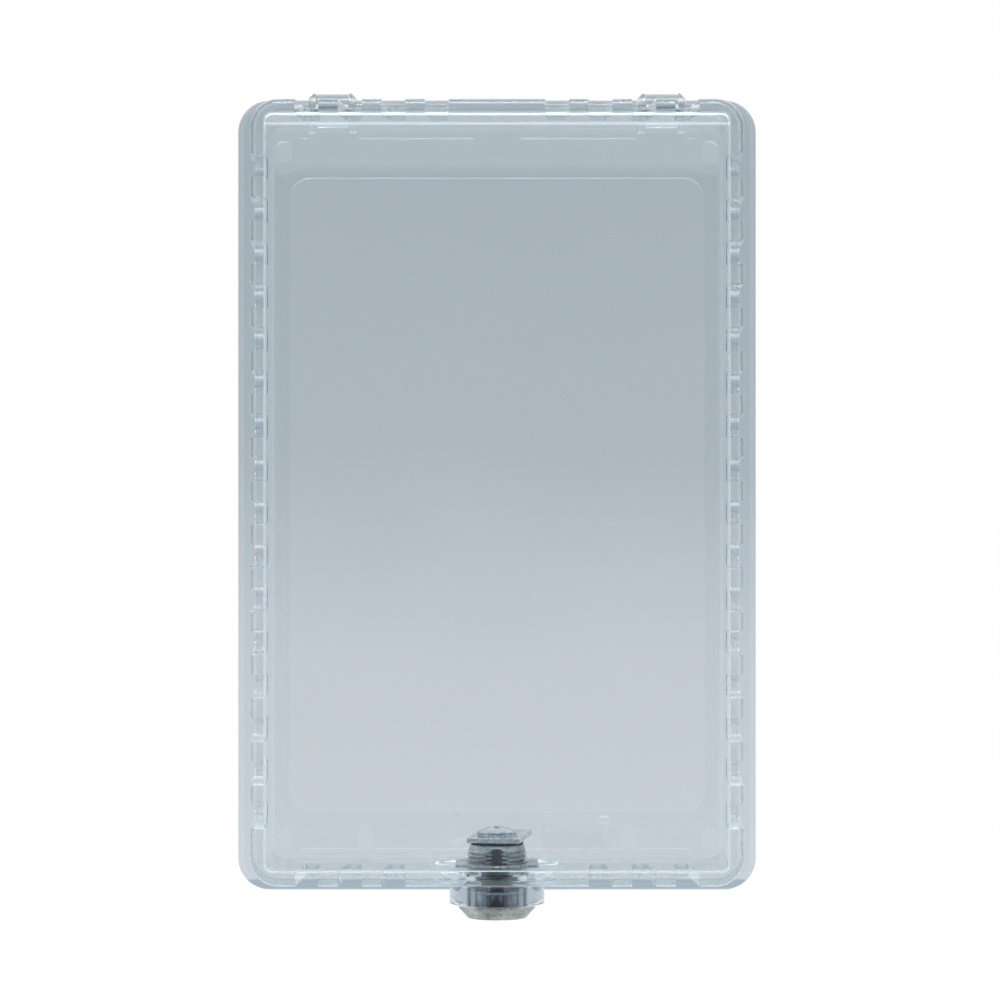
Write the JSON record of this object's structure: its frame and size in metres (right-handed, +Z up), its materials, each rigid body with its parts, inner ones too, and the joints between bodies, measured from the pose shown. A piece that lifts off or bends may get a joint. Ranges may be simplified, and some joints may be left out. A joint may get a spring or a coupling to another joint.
{
  "type": "thermostat lock box",
  "caption": "Clear wall-mounted guard box with vent slots all round, a top-hinged cover and a small cam lock under its lower edge.",
  "frame": {"origin": "middle of the base plate on the wall plane", "axes": "+X to the right, +Y into the wall, +Z up; the cover faces -Y"},
  "size_m": [0.11, 0.046, 0.1722],
  "materials": {
    "clear_base": "clear moulded polycarbonate, slightly blue grey",
    "clear_cover": "clear moulded polycarbonate, slightly blue grey",
    "cast_nickel": "nickel-plated die casting, grainy",
    "plated_steel": "bright zinc-plated steel",
    "dark_steel": "blackened steel",
    "plug_metal": "nickel-plated",
    "wafer_brass": "bare stamped brass",
    "spring_steel": "bright drawn wire"
  },
  "bodies": {
    "base": {"base_plate": "clear_base"},
    "cover": {"cover": "clear_cover", "lock_housing": "cast_nickel", "lock_nut": "plated_steel", "lock_washer": "plated_steel"},
    "plug": {"lock_plug": "plug_metal", "plug_retainer": "wafer_brass", "retainer_spring": "spring_steel", "wafer_spring_1": "spring_steel", "wafer_spring_2": "spring_steel", "wafer_spring_3": "spring_steel", "wafer_spring_4": "spring_steel", "stop_washer": "dark_steel", "cam": "plated_steel", "cam_washer": "plated_steel", "cam_screw": "plated_steel"},
    "wafers": {"wafer_1": "wafer_brass", "wafer_2": "wafer_brass", "wafer_3": "wafer_brass", "wafer_4": "wafer_brass"}
  },
  "joints": [
    {"name": "cover_hinge", "type": "hinge", "parent": "base", "child": "cover", "pos_m": [0, -0.0055, 0.0822], "axis": [-1, 0, 0], "range_deg": [0, 95]},
    {"name": "lock_turn", "type": "hinge", "parent": "cover", "child": "plug", "pos_m": [0, -0.02, -0.08], "axis": [0, 0, -1], "range_deg": [-7.4, 82.6]},
    {"name": "wafer_slide", "type": "slide", "parent": "plug", "child": "wafers", "axis": [0.9917, -0.1288, 0], "range_m": [0, 0.0005], "deforming": ["wafer_spring_1", "wafer_spring_2", "wafer_spring_3", "wafer_spring_4"]}
  ]
}
